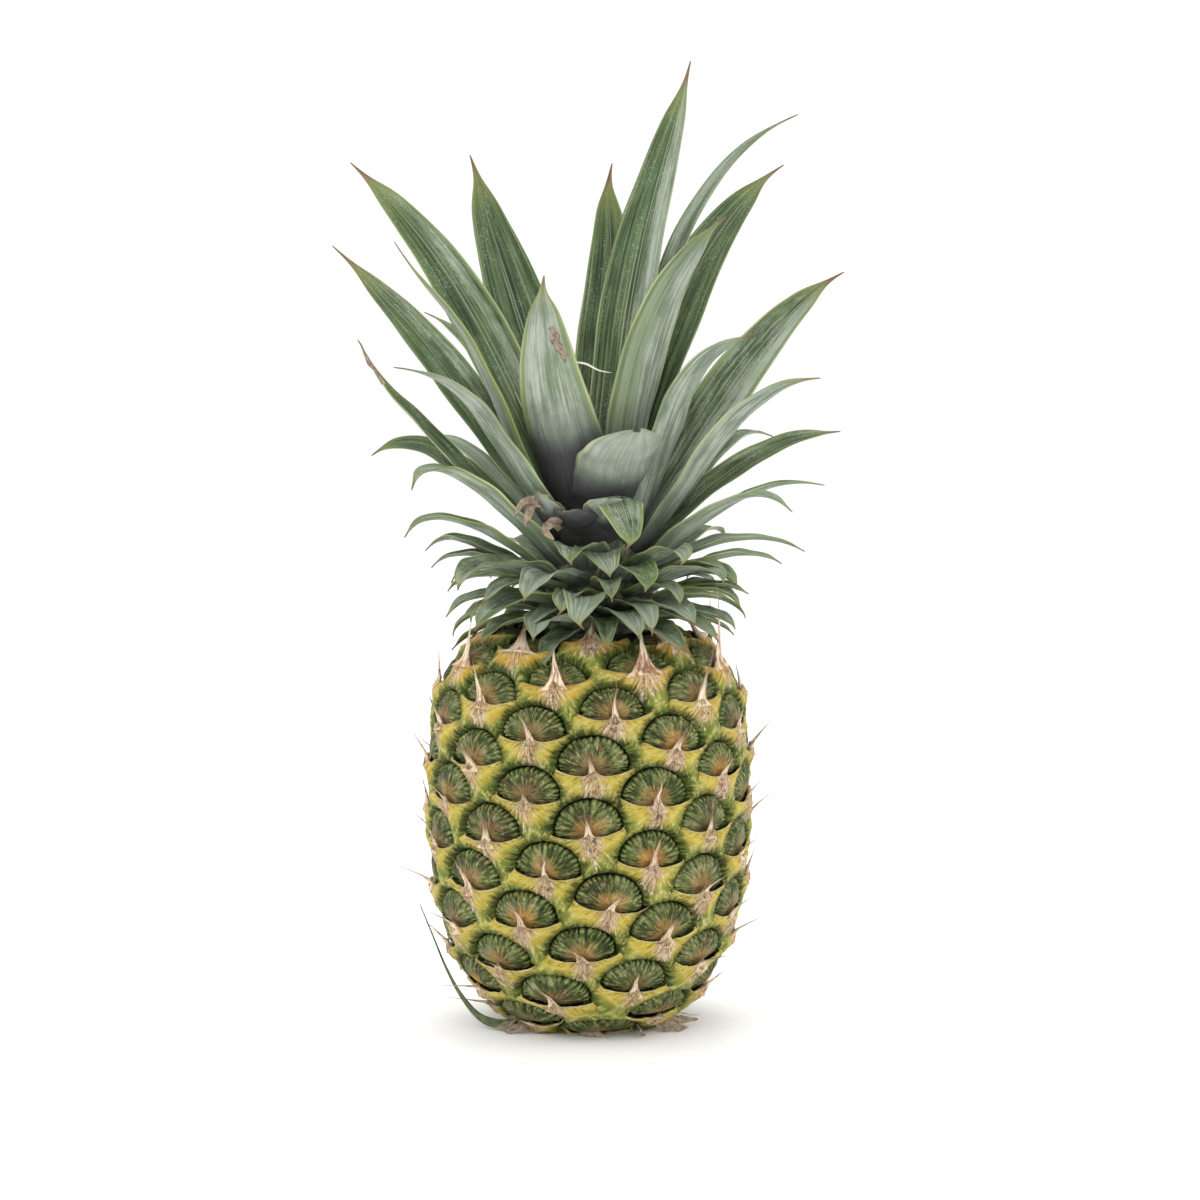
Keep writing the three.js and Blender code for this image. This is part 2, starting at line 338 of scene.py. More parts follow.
def makeSpineFinish():
    # straw-coloured and fibrous, browner towards the point
    look = Finish("eye spine", spineTones, Roughness=0.65, Specular_IOR_Level=0.2)
    side, along, _ = look.layer("local")
    luck, warmth, phase = look.layer("trait")
    threads = look.joined(side * 3, along * 1.6, phase)
    fibre = look.grain(threads, 1.6, roughness=0.7)
    pale = (fibre + (luck - 0.5) * 0.1).rise(0.38, 0.56)
    look.colour = look.blend("brown", "straw", pale)
    look.paint("amber", (1 - along).rise(0.7, 1) * warmth * 0.7)
    look.paint("point", (along + (luck - 0.5) * 0.9).rise(0.5, 1.05) * 0.85)
    look.wire("Base Color", look.colour)
    look.bump(fibre, 1, 0.0006)
    return look.material


grooveTones = tones(
    deep=(24, 34, 18), green=(66, 84, 40), cork=(150, 118, 78), darkCork=(86, 60, 40),
)


def makeGrooveFinish():
    # the rind between the eyes, dark green painted nearly black as the shade deep in the grooves,
    # and the cork-brown cut below
    look = Finish("rind groove", grooveTones, Roughness=0.75)
    where = look.place()
    _, _, height = look.parts(where)
    fleck = look.grain(where, 500)
    look.colour = look.blend("deep", "green", fleck.rise(0.45, 0.75))
    cork = look.blend("cork", "darkCork", fleck.rise(0.4, 0.6))
    look.paint(cork, height.rise(0.004, 0.0012))
    look.wire("Base Color", look.colour)
    look.bump(fleck, 0.6, 0.0008)
    return look.material


leafTones = tones(
    deep=(52, 70, 40), fresh=(100, 122, 82), vein=(30, 44, 28), paleVein=(158, 170, 136),
    silver=(134, 148, 130), paleSilver=(186, 194, 180), silverVein=(92, 108, 84),
    dust=(188, 198, 180), under=(112, 126, 108), paleUnder=(176, 184, 170),
    underVein=(80, 98, 70), sheath=(146, 152, 140), bare=(76, 96, 62), paleBare=(118, 136, 98),
    margin=(104, 126, 66), lime=(160, 168, 86), edge=(206, 208, 168), blush=(112, 134, 74),
    fold=(38, 50, 34), midrib=(170, 180, 150), foot=(84, 92, 88), dusk=(60, 53, 60),
    tip=(150, 156, 88), dead=(92, 68, 48), paleDead=(170, 142, 108),
)


def makeLeafFinish():
    # leathery blade: dark green above with pale veins and a silver scale, silver-grey beneath
    look = Finish("crown leaf", leafTones, Roughness=0.5, Specular_IOR_Level=0.28)
    across, along, under = look.layer("blade")  # -1..1, 0..1, 0 or 1
    luck, dryness, dusk = look.layer("trait")
    silver, half, lime = look.layer("coat")
    where = look.place()
    fromRib = across.size()

    def lines(x, y, z, scale=1, detail=4, roughness=0.6):
        return look.grain(look.joined(x, y, z), scale, detail=detail, roughness=roughness)

    veins = lines(across * 7 + luck * 30, along * 1.1, luck * 17, detail=5, roughness=0.72)
    fine = lines(across * 17, along * 2.4, luck * 9 + 4, detail=3)
    scale = lines(across * 16, along * 34, luck * 13, roughness=0.7)
    blotch = lines(across * 1.6, along * 6, luck * 29, scale=1.2)
    cloud = look.grain(where, 60, roughness=0.6)
    dust = look.grain(where, 1100, detail=3, roughness=0.7)
    bright = veins.rise(0.36, 0.64)

    fresh = (veins + (blotch - 0.5) * 0.4).rise(0.34, 0.66)
    look.colour = look.blend("deep", "fresh", fresh)
    look.paint("vein", fine.rise(0.47, 0.34) * 0.75)
    look.paint("paleVein", fine.rise(0.54, 0.68) * veins.rise(0.36, 0.56) * 0.8)
    # the silver scale lies in soft patches, laid thicker on one half of the blade as a painted
    # sheen
    lean = (across * half).rise(-0.1, 0.35) * half.size()
    cover = (silver + lean * 0.7 + (blotch - 0.5) * 1.1 + (scale - 0.5) * 0.7).rise(0.3, 0.9)
    silvered = look.blend("silver", "paleSilver", bright)
    silvered = look.blend(silvered, "silverVein", fine.rise(0.46, 0.34) * 0.7)
    look.paint(silvered, cover * 0.75)
    look.paint("dust", dust.rise(0.52, 0.66) * blotch.rise(0.4, 0.6) * 0.4)
    upper = look.colour
    palest = (veins + (blotch - 0.5) * 0.7).rise(0.34, 0.66)
    look.colour = look.blend("under", "paleUnder", palest)
    look.paint("underVein", fine.rise(0.48, 0.34) * 0.65)
    look.paint("sheath", dusk.rise(0.8, 1.05) * 0.6)
    # beneath, the other half is painted bare green, partly as painted shade
    bare = (across * half * -1).rise(-0.15, 0.4) * half.size()
    look.paint(look.blend("bare", "paleBare", bright), bare * 0.85)
    look.colour = look.blend(upper, look.colour, under)
    # green and yellow-green towards the margins, with a pale line just inside them
    edge = fromRib + (blotch - 0.5) * 0.2
    look.paint("margin", (edge + lime * 0.25).rise(0.84, 1) * (0.5 + lime * 0.3))
    look.paint("lime", (edge + lime * 0.3 - 0.1).rise(0.86, 1.05) * lime * 0.65)
    look.paint("edge", fromRib.rise(0.9, 0.97) * fine.rise(0.4, 0.6) * 0.5)
    look.paint("blush", cloud.rise(0.48, 0.7) * (0.12 + lime * 0.4))
    # the midrib is a thin pale line in a fold painted dark as shade
    look.paint("fold", fromRib.rise(0.16, 0.03) * (1 - under) * 0.45)
    look.paint("midrib", fromRib.rise(0.035, 0.01) * (1 - under) * 0.5)
    # painted shade at the foot, blue-grey then dusky purple, over the foot's own purple
    low = along - dusk * 0.34 + (cloud - 0.5) * 0.14
    look.paint("foot", low.rise(0.24, 0.02) * 0.75)
    look.paint("dusk", low.rise(0.11, -0.02) * 0.8)
    # tips run through yellow-green to a dry brown point
    toTip = along + (veins - 0.5) * 0.08 + (fromRib - 0.5) * 0.02
    look.paint("tip", (toTip + dryness * 0.04).rise(0.84, 0.98) * 0.5)
    dead = look.blend("dead", "paleDead", veins.rise(0.4, 0.6))
    look.paint(dead, (toTip + dryness * 0.035).rise(0.955, 0.99) * 0.95)
    look.wire("Base Color", look.colour)
    look.wire("Roughness", 0.42 + scale * 0.25)
    look.bump(veins * 0.9 + fine * 0.6, 0.9, 0.0007)
    return look.material


def makeDryFinish(name, pale, dark):
    # papery, stripy and dead
    look = Finish(name, Roughness=0.75, Specular_IOR_Level=0.3)
    across, along, _ = look.layer("blade")
    threads = look.joined(across * 12, along * 2, 0)
    stripes = look.grain(threads, 3, roughness=0.65)
    fleck = look.grain(look.place(), 500, detail=3)
    light = (stripes + (fleck - 0.5) * 0.4).rise(0.35, 0.65)
    look.wire("Base Color", look.blend(dark, pale, light))
    look.bump(stripes, 0.6, 0.0005)
    return look.material


def makeStemFinish():
    look = Finish("crown stem", Roughness=0.7)
    fleck = look.grain(look.place(), 300)
    pale = fleck.rise(0.4, 0.65)
    look.wire("Base Color", look.blend(tone(60, 66, 50), tone(116, 122, 92), pale))
    look.bump(fleck, 0.5, 0.0006)
    return look.material


# Mesh helpers

def finishPiece(name, mesh, look, node=None):
    data = bpy.data.meshes.new(name)
    mesh.to_mesh(data)
    mesh.free()
    for face in data.polygons:
        face.use_smooth = True
    data.materials.append(look)
    piece = bpy.data.objects.new(name, data)
    bpy.context.scene.collection.objects.link(piece)
    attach(piece, "root")
    if node:
        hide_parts(node)
    return piece


def vertLayers(mesh, *names):
    return [mesh.verts.layers.float_vector.new(name) for name in names]


def addGrid(mesh, columns, rows):
    # a flat sheet from -1 to 1 each way, ready to be bent
    made = bmesh.ops.create_grid(mesh, x_segments=columns, y_segments=rows, size=1)
    return made["verts"]


def addSlab(mesh, columns, rows):
    # the same sheet with a wall one unit thick
    faces = {face for vert in addGrid(mesh, columns, rows) for face in vert.link_faces}
    bmesh.ops.solidify(mesh, geom=list(faces), thickness=1)


def isUnder(vert):
    return 1 if abs(vert.co.z) > 0.5 else 0


def spinOutline(outline, steps, foot=0):
    # turn a line of radii and heights about the upright axis
    mesh = bmesh.new()
    verts = [mesh.verts.new(Vector((out, 0, rise + foot)) * mm) for out, rise in outline]
    edges = [mesh.edges.new(pair) for pair in zip(verts, verts[1:])]
    bmesh.ops.spin(
        mesh, geom=verts + edges, cent=(0, 0, 0), axis=(0, 0, 1), dvec=(0, 0, 0),
        angle=math.tau, steps=steps, use_merge=True, use_duplicate=False,
    )
    bmesh.ops.remove_doubles(mesh, verts=mesh.verts, dist=1e-6)
    bmesh.ops.recalc_face_normals(mesh, faces=mesh.faces)
    return mesh


# The fruit

fruitLow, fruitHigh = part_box("fruit_body")
fruit = {
    "radius": (fruitHigh.x - fruitLow.x) / 2 / mm + 0.5,
    "height": fruitHigh.z / mm,
    "widestHeight": 88,
    "shoulder": (70, 3.5),  # how far it reaches, and how square it is
    "belly": (92, 2.5),
    "eyeArea": 608,
    "firstEyeShare": 0.89,
    "eyeTurn": -137.83,
    "firstEyeTurn": 150,
    "rowSlips": [-0.19, -0.19, -0.19, -0.16, -0.25, 0.09, 0.13, -0.52],
    "rowTurn": 22.4,
    "rowFall": 11.8,
    "grooveDepth": 4.6,
    "footEyes": [(277, 1)],  # turn and distance from the foot
    "endTilt": 0.2,
    "leastRadius": 0.5,
}

eyeTraits = {
    "warmth": (0.78, 0.28),
    "coolOver": 360,
    "roll": 4,
    "size": 0.03,
    "spine": (8.5, 13.5),
    "girth": (2.8, 4.3),
    "lean": 2,
    "stand": (0.08, 0.6),
    "sideStand": 0.7,
    "phase": 20,
    "neighbours": 44,
}


def barrelRadius(height):
    past = height - fruit["widestHeight"]
    reach, power = fruit["shoulder"] if past > 0 else fruit["belly"]
    share = min(abs(past) / reach, 1)
    return fruit["radius"] * (1 - share ** power) ** (1 / power)


def barrelProfile(step=0.25):
    # distance along the rind from the foot, radius and height
    profile = [(0, barrelRadius(0), 0)]
    height = step
    while height <= fruit["height"]:
        arc, radius, last = profile[-1]
        wider = barrelRadius(height)
        profile.append((arc + math.hypot(wider - radius, height - last), wider, height))
        height += step
    return profile


profile = barrelProfile()
profileLength = profile[-1][0]


def profileAt(arc):
    # radius, height and the two parts of the outward direction, also a little past both ends
    least, tilt = fruit["leastRadius"], fruit["endTilt"]
    if arc <= 0:
        return max(profile[0][1] + arc, least), 0, tilt, -1
    if arc >= profileLength:
        return max(profile[-1][1] - (arc - profileLength), least), profile[-1][2], tilt, 1
    above = bisect.bisect(profile, arc, key=lambda row: row[0])
    first, second = profile[above - 1], profile[above]
    span = second[0] - first[0]
    share = (arc - first[0]) / span
    radius = mix(first[1], second[1], share)
    height = mix(first[2], second[2], share)
    return radius, height, (second[2] - first[2]) / span, (first[1] - second[1]) / span


def rindPoint(turn, arc, proud):
    radius, height, outward, upward = profileAt(arc)
    out = radius + proud * outward
    rise = max(height + proud * upward, floorGap)
    return Vector((out * math.cos(turn), out * math.sin(turn), rise)) * mm


def eyeSpiral():
    # every eye takes the same share of the rind, one turn after another, in eight slipped rows
    eyes = []
    covered = fruit["eyeArea"] * fruit["firstEyeShare"]
    for (_, lastRadius, lastHeight), (arc, radius, height) in zip(profile, profile[1:]):
        slant = math.hypot(radius - lastRadius, height - lastHeight)
        covered += math.pi * (lastRadius + radius) * slant
        if covered > fruit["eyeArea"]:
            covered -= fruit["eyeArea"]
            slip = fruit["rowSlips"][len(eyes) % len(fruit["rowSlips"])]
            turn = fruit["firstEyeTurn"] + fruit["eyeTurn"] * len(eyes) + fruit["rowTurn"] * slip
            eyes.append((turn, min(max(arc - fruit["rowFall"] * slip, 0), profileLength)))
    eyes += fruit["footEyes"]  # squashed half-eyes round the cut
    return [placeEye(turn, arc) for turn, arc in eyes]


def placeEye(turn, arc):
    radius, height, _, _ = profileAt(arc)
    return {"turn": math.radians(turn), "arc": arc, "radius": radius, "height": height}


def setEyeTraits(eyes):
    luck = random.Random(7)
    for eye in eyes:
        eye["side"] = abs(math.cos(eye["turn"]))  # 1 at the left and right of the fruit
        eye["luck"] = luck.random()
        warmth = luck.gauss(*eyeTraits["warmth"]) - eye["height"] / eyeTraits["coolOver"]
        eye["warmth"] = min(max(warmth, 0), 1)
        eye["roll"] = math.radians(luck.gauss(0, eyeTraits["roll"]))
        eye["size"] = luck.gauss(1, eyeTraits["size"])
        eye["spine"] = luck.uniform(*eyeTraits["spine"])
        eye["girth"] = luck.uniform(*eyeTraits["girth"])
        eye["lean"] = luck.gauss(0, eyeTraits["lean"])
        stand = luck.uniform(*eyeTraits["stand"])
        eye["stand"] = stand * (1 + eyeTraits["sideStand"] * eye["side"])
        eye["phase"] = luck.uniform(0, eyeTraits["phase"])
    reach = eyeTraits["neighbours"]
    for eye in eyes:
        eye["near"] = [other for other in eyes if other is not eye and eyeGap(eye, other) < reach]


def eyeGap(eye, other):
    turned = math.remainder(eye["turn"] - other["turn"], math.tau)
    return math.hypot(turned * (eye["radius"] + other["radius"]) / 2, eye["arc"] - other["arc"])


def eyePlace(eye, x, y):
    # from the eye's own flat drawing, in millimetres from its spine, to a turn and an arc
    swing, lie = math.sin(eye["roll"]), math.cos(eye["roll"])
    across = (x * lie - y * swing) * eye["size"]
    upward = (x * swing + y * lie) * eye["size"]
    return eye["turn"] + across / eye["radius"], eye["arc"] + upward


def eyeView(eye, turn, arc):
    # the way back, from a turn and an arc to the eye's flat drawing
    across = math.remainder(turn - eye["turn"], math.tau) * eye["radius"] / eye["size"]
    upward = (arc - eye["arc"]) / eye["size"]
    swing, lie = math.sin(eye["roll"]), math.cos(eye["roll"])
    return across * lie + upward * swing, upward * lie - across * swing


def shapeEyes(eyes, sheet, drawEye, look, name):
    mesh = bmesh.new()
    local, trait, field, around = vertLayers(mesh, "local", "trait", "field", "around")
    for eye in eyes:
        for vert in addGrid(mesh, *sheet):
            x, y, proud, marks, neighbour = drawEye(eye, vert.co.x, vert.co.y)
            vert[around] = Vector(neighbour)
            vert[local] = Vector((x, y, 0))
            vert[trait] = Vector((eye["luck"], eye["warmth"], eye["height"] / fruit["height"]))
            vert[field] = Vector(marks)
            vert.co = rindPoint(*eyePlace(eye, x, y), proud)
    mesh.normal_update()
    return finishPiece(name, mesh, look, "fruit_body")


def domeRim(x, y):
    # 0 in the middle of a dome and 1 at its rim
    reach = dome["reachUp"] if y > dome["middle"] else dome["reachDown"]
    return math.hypot(x / dome["halfWidth"], (y - dome["middle"]) / reach)


def drawDome(eye, u, v):
    # a square sheet eased into a disc, then puffed like a pillow with a crimped rim
    square = max(abs(u), abs(v))
    crowd = (1 - (1 - square) ** dome["crowding"]) / square if square > 0 else 1
    u, v = u * crowd, v * crowd
    dx = u * math.sqrt(1 - v * v / 2)
    dy = v * math.sqrt(1 - u * u / 2)
    rim = math.hypot(dx, dy)
    angle = math.atan2(dy, dx)
    wave = lump(math.cos(angle) * 2.4, math.sin(angle) * 2.4, eye["phase"])
    ripple = math.sin(dome["wrinkles"] * (angle + 0.1 * wave) + eye["phase"] * 5)
    grow = 1 + (dome["crimp"] * ripple + dome["lobes"] * wave) * ease(rim, 0.4, 1)
    x = dx * dome["halfWidth"] * grow
    y = dome["middle"] + dy * (dome["reachUp"] if dy > 0 else dome["reachDown"]) * grow
    wall = max(1 - rim ** dome["wallPower"], 0) ** 0.5
    proud = -fruit["grooveDepth"] - 0.4 + dome["wallHeight"] * wall
    proud += dome["swell"] * (1 - rim * rim)
    # a shallow valley inside the rim
    proud -= dome["valley"] * math.exp(-((rim - dome["valleyAt"]) / dome["valleyWidth"]) ** 2)
    proud += dome["wrinkleDepth"] * ripple * ease(rim, 0.62, 0.86) * wall
    for crease in dome["creases"]:
        apart = (dx - crease * (0.4 + dy)) * 8
        proud -= dome["creaseDepth"] * math.exp(-apart * apart) * ease(dy, -0.2, 0.5) * wall
    proud += dome["lumps"] * lump(dx * 2.2, dy * 2.2, eye["phase"] + 9)
    proud -= dome["footSink"] * ease(y, 3.6, -0.8)
    return x, y, proud, (rim, ripple, 0), (x, y, 0)


bract = {
    "sheet": (38, 22),
    "reach": 22,
    "drop": 19,
    "lipHeight": -1,
    "needle": 3.4,
    "hornRise": 3.4,
    "hornReach": 15,
    "fold": 1.1,
    "wallHeight": 4.3,
    "swell": 1.7,
    "ridge": 0.3,
    "knob": 1.1,
    "crease": 0.6,
    "lumps": 0.5,
    "smallLumps": 0.25,
    "tuck": 2.2,
    "spread": (15.5, 10),  # the half width and half height that it claims against its rivals
    "centre": 4.5,
}


def bractClaim(x, y):
    halfWidth, halfHeight = bract["spread"]
    return math.hypot(x / halfWidth, (y + bract["centre"]) / halfHeight)


def drawBract(eye, u, v):
    # a sheet that fills the room under the eye's own dome, down to the domes around it
    reach = bract["reach"]
    x = u * reach
    across = abs(x)
    needle = bract["needle"] * math.exp(-across / 1.5)
    horn = bract["hornRise"] * min(across / bract["hornReach"], 1.1) ** 2.6
    upper = bract["lipHeight"] + needle + horn
    lower = -bract["drop"] + 9 * (across / reach) ** 2
    down = (1 - v) / 2
    folded = down < 0.02
    y = upper - 0.6 if folded else mix(upper, lower, max(down - 0.055, 0) / 0.945)
    turn, arc = eyePlace(eye, x, y)
    rims = [1.24 + (upper - y) / 12]
    neighbour = (0, 40, 0)
    own = bractClaim(x, y)
    rival = 9
    for other in eye["near"]:
        ox, oy = eyeView(other, turn, arc)
        rim = domeRim(ox, oy)
        if rim < min(rims):
            neighbour = (ox, oy, other["luck"])
        rims.append(rim)
        rival = min(rival, bractClaim(ox, oy))
    rims.sort()
    near, second = rims[0], rims[1]
    ridge = math.exp(-((second - near) / 0.08) ** 2)
    proud = -fruit["grooveDepth"] - 0.2 + bract["wallHeight"] * ease(near, 0.98, 1.09)
    proud += bract["swell"] * min(max(near - 1.06, 0) / 0.4, 1) + bract["ridge"] * ridge
    proud += bract["knob"] * math.exp(-(x / 3.4) ** 2 - ((y + 1.5) / 4.5) ** 2)
    proud -= bract["crease"] * math.exp(-(x / 2.2) ** 2) * ease(y, -4, -8)
    proud += bract["lumps"] * lump(x * 0.3, y * 0.3, eye["phase"] + 3)
    proud += bract["smallLumps"] * lump(x * 0.9, y * 0.9, eye["phase"] + 5)
    proud -= bract["tuck"] * ease(own - rival, -0.03, 0.2)
    if folded:
        proud -= bract["fold"]
    lip = ease(upper - y, 0.9, 0.2)
    return x, y, proud, (near, ridge, lip), neighbour


spine = {
    "sides": 6,
    "cuts": 6,
    "point": 0.12,
    "sunk": 3,
    "thickness": (0.9, 1.8),  # in front and behind, and at the sides
    "taper": 0.14,
    "curl": 0.07,
    "leafyFrom": (130, 148),  # the eyes at the top have broad, leafy bracts
    "leafyGirth": 7.4,
    "leafyExtra": 2.5,
}


def makeSpines(eyes, look):
    # a dry, flattened needle over each dome, bent a little outwards
    mesh = bmesh.new()
    local, trait = vertLayers(mesh, "local", "trait")
    for eye in eyes:
        before = len(mesh.verts)
        made = bmesh.ops.create_cone(
            mesh, cap_ends=True, segments=spine["sides"], radius1=1, radius2=spine["point"],
            depth=1,
        )
        sides = {edge for vert in made["verts"] for edge in vert.link_edges
                 if abs(edge.verts[0].co.z - edge.verts[1].co.z) > 0.5}
        bmesh.ops.subdivide_edges(mesh, edges=list(sides), cuts=spine["cuts"])
        mesh.verts.ensure_lookup_table()
        curl = eye["stand"] * spine["curl"]
        leafy = ease(eye["height"], *spine["leafyFrom"])
        broad = mix(eye["girth"], spine["leafyGirth"], leafy)
        thick = mix(*spine["thickness"], eye["side"])
        length = eye["spine"] + spine["leafyExtra"] * leafy
        for vert in mesh.verts[before:]:
            along = vert.co.z + 0.5
            slim = mix(1, spine["taper"], along ** mix(0.62, 1, leafy))
            slim *= mix(1.3, 1, ease(along, 0, 0.2))
            wobble = lump(along * 3, eye["phase"], 0)
            y = along * (length + spine["sunk"]) - spine["sunk"]
            x = vert.co.x * broad * slim + eye["lean"] * along ** 1.6 + wobble * 1.6 * along
            lift = max(y, 0)
            proud = vert.co.y * thick * slim + 0.7
            proud += eye["stand"] * lift * mix(1, 0.6, leafy) + curl * lift * lift
            vert[local] = Vector((vert.co.x, along, vert.co.y))
            vert[trait] = Vector((eye["luck"] + 0.01, eye["warmth"], eye["phase"]))
            vert.co = rindPoint(*eyePlace(eye, x, y), proud)
    bmesh.ops.recalc_face_normals(mesh, faces=mesh.faces)
    return finishPiece("eye_spines", mesh, look, "fruit_body")


groove = {
    "scar": [(0, 1.6), (9, 1.6), (11, 0.4), (14, 0.1)],  # the cut let into the base
    "rings": 60,
    "steps": 96,
}


def makeGroove(look):
    # the rind under the eyes
    depth = fruit["grooveDepth"]
    outline = list(groove["scar"])
    for step in range(groove["rings"] + 1):
        radius, height, outward, upward = profileAt(profileLength * step / groove["rings"])
        outline.append((radius - depth * outward, max(height - depth * upward, 0.1)))
    outline.append((0, profile[-1][2] - depth))
    return finishPiece("rind_groove", spinOutline(outline, groove["steps"]), look, "fruit_body")


print("making the rind")
eyes = eyeSpiral()
setEyeTraits(eyes)
makeGroove(makeGrooveFinish())
shapeEyes(eyes, dome["sheet"], drawDome, makeDomeFinish(), "eye_domes")
shapeEyes(eyes, bract["sheet"], drawBract, makeBractFinish(), "eye_bracts")
makeSpines(eyes, makeSpineFinish())


# The crown

stemLow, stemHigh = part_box("crown_stem")
stem = {
    "radius": (stemHigh.x - stemLow.x) / 2 / mm,
    "foot": stemLow.z / mm,
    "height": (stemHigh.z - stemLow.z) / mm,
    "rings": 24,
    "steps": 48,
    "ripple": 0.5,
}


def leafRow(turn, share, out, up, lift, dip, width, **more):
    # turn is the compass way a leaf goes and share how far up the stem it starts. out and up place
    # its tip, lift and dip are its slopes at either end, roll twists it, flick turns the tip up and
    # hook bends it aside. silver is how far the pale scale covers it and half the side it favours,
    # laying it thicker there as part scale and part painted sheen. lime is the yellow-green,
    # dusk how far up the purple foot and its painted shade run, dry how far down the
    # brown tip.
    return dict(turn=turn, share=share, out=out, up=up, lift=lift, dip=dip, width=width, **more)


leaves = [
    leafRow(45, 0.93, 52, 376, 86, 66, 25, roll=20, silver=0.1, half=-0.9, hook=1.5),
    leafRow(82, 0.9, 35, 336, 84, 84, 26, silver=-0.1, lime=0.1, dry=1.1, hook=-1.5),
    leafRow(20, 0.86, 82, 355, 80, 22, 13, roll=20, silver=0.6, half=0.3, lime=0.35, hook=-2),
    leafRow(42, 0.82, 95, 335, 80, 36, 25, roll=40, silver=0.05, dry=0.6, hook=-3.5),
    leafRow(325, 0.84, 58, 317, 84, 40, 22, roll=-30, silver=0.15, half=0.9, lime=0.2, dry=0.2,
            dusk=0.4),
    leafRow(130, 0.84, 78, 339, 71, 76, 29, roll=-30, silver=-0.15, lime=0.15, dry=0.6, hook=1.5),
    leafRow(240, 0.8, 43, 295, 72, 88, 30, roll=30, silver=0.15, half=-0.3, lime=0.55, dusk=0.85),
    leafRow(286, 0.74, 50, 192, 84, -86, 21, bow=0.95, channel=-0.2, silver=0.5, lime=0.55,
            dusk=0.3),
    leafRow(155, 0.78, 110, 336, 64, 36, 23, roll=-50, silver=0.15, half=-0.6, lime=0.35,
            dry=1.2, hook=-3),
    leafRow(168, 0.72, 106, 298, 50, 30, 20, roll=-50, flick=6, silver=0.2, half=-0.5, lime=0.2,
            dry=1.2, hook=3),
    leafRow(205, 0.76, 86, 296, 46, 18, 12, flick=12, silver=0.3, lime=0.8, dry=0.8, hook=2),
    leafRow(195, 0.62, 95, 258, 32, 34, 15, roll=-30, flick=12, silver=0.2, dusk=0.7, dry=1.8,
            hook=3.5),
    leafRow(215, 0.66, 92, 261, 48, 6, 18, silver=0.8, lime=0.2),
    leafRow(25, 0.7, 105, 293, 54, 32, 23, roll=50, silver=0.5, half=-0.5, lime=0.4, dry=1.1,
            hook=-2.5),
    leafRow(335, 0.7, 66, 272, 66, 10, 19, roll=-20, silver=1.2, lime=0.1, dry=0.4, hook=-2),
    leafRow(340, 0.6, 91, 256, 50, 4, 17, roll=-20, silver=0.6, lime=0.15, dry=1.2, hook=-3),
    leafRow(5, 0.58, 95, 232, 46, 2, 16, roll=30, silver=0.25, half=0.4, lime=0.4, dry=0.8, hook=1),
    leafRow(352, 0.5, 88, 213, 36, -12, 15, silver=0.5, lime=0.4, dry=0.9),
    leafRow(332, 0.48, 83, 205, 40, -48, 16),
    leafRow(12, 0.42, 83, 184, 30, -30, 15),
    leafRow(348, 0.34, 73, 183, 26, -26, 15),
    leafRow(184, 0.54, 89, 224, 42, -34, 18, roll=-30, silver=0.1, lime=0.4, dry=0.9),
    leafRow(206, 0.5, 79, 213, 48, -80, 22, silver=0.8, lime=0.5, dry=0.9),
    leafRow(192, 0.42, 77, 193, 38, -62, 18, silver=0.6, lime=0.6, dry=0.3),
    leafRow(210, 0.34, 62, 174, 40, -84, 27, silver=0.6, half=0.5, lime=0.3, dry=1.2),
    leafRow(178, 0.34, 66, 179, 28, -50, 14),
    leafRow(195, 0.2, 62, 162, 20, -52, 16),
    leafRow(222, 0.2, 63, 160, 24, -60, 22),
    leafRow(257, 0.5, 50, 186, 52, -84, 20),
    leafRow(272, 0.54, 46, 181, 56, -84, 20),
    leafRow(240, 0.36, 55, 172, 40, -80, 20),
    leafRow(290, 0.4, 54, 176, 46, -80, 20),
    leafRow(262, 0.24, 60, 163, 26, -70, 20),
    leafRow(284, 0.14, 60, 159, 16, -56, 18),
    leafRow(309, 0.4, 54, 185, 42, -70, 19),
    leafRow(322, 0.28, 60, 177, 30, -60, 20),
    leafRow(305, 0.16, 62, 163, 16, -50, 20),
    leafRow(352, 0.2, 59, 170, 20, -34, 16),
    leafRow(332, 0.1, 60, 159, 12, -40, 17),
    leafRow(244, 0.08, 60, 158, 12, -46, 18),
    leafRow(294, 0.8, 35, 237, 76, 84, 34, channel=0.5, fullness=9, silver=0.5, dry=-2, dusk=1.1,
            hook=0, torn=0.07),
]

# how many leaves, then the leaf, whose turn goes from the first to the last
farRings = [
    (5, leafRow((28, 158), 0.1, 60, 162, 12, -44, 18)),
    (4, leafRow((40, 172), 0.3, 66, 182, 28, -50, 18)),
    (4, leafRow((34, 150), 0.5, 84, 222, 42, -24, 17)),
    (3, leafRow((66, 142), 0.66, 92, 276, 54, 20, 18)),
]


def farLeaves():
    # evenly round each ring, with no two quite alike
    made = []
    for count, row in farRings:
        for index in range(count):
            turn = mix(*row["turn"], index / (count - 1))
            out = row["out"] + 4 * math.sin(2.4 * index)
            made.append(row | dict(turn=turn, out=out, up=row["up"] + 5 * math.cos(2.4 * index)))
    return made


blade = {
    "thickness": 1.3,
    "tipThinner": 0.6,
    "edgeThinner": 0.75,
    "columns": 10,
    "rows": 30,
    "waist": 0.86,
    "tail": 0.42,
    "fullness": 2.9,
    "channel": 0.34,
    "channelPower": 2.2,
    "wave": 0.07,
    "drift": 2.2,
    "bow": 0.4,
    "fall": 0.34,
    "sunk": 2,  # how far the foot stands in the stem
    "hookFrom": 0.9,
    "flickFrom": 0.8,
}


def stemSurface(share):
    return stem["radius"] * math.sqrt(1 - share ** 2.2)


def bezierPoint(points, share):
    a, b, c, d = points
    rest = 1 - share
    near, far = 3 * rest * rest * share, 3 * rest * share * share
    return a * rest ** 3 + b * near + c * far + d * share ** 3


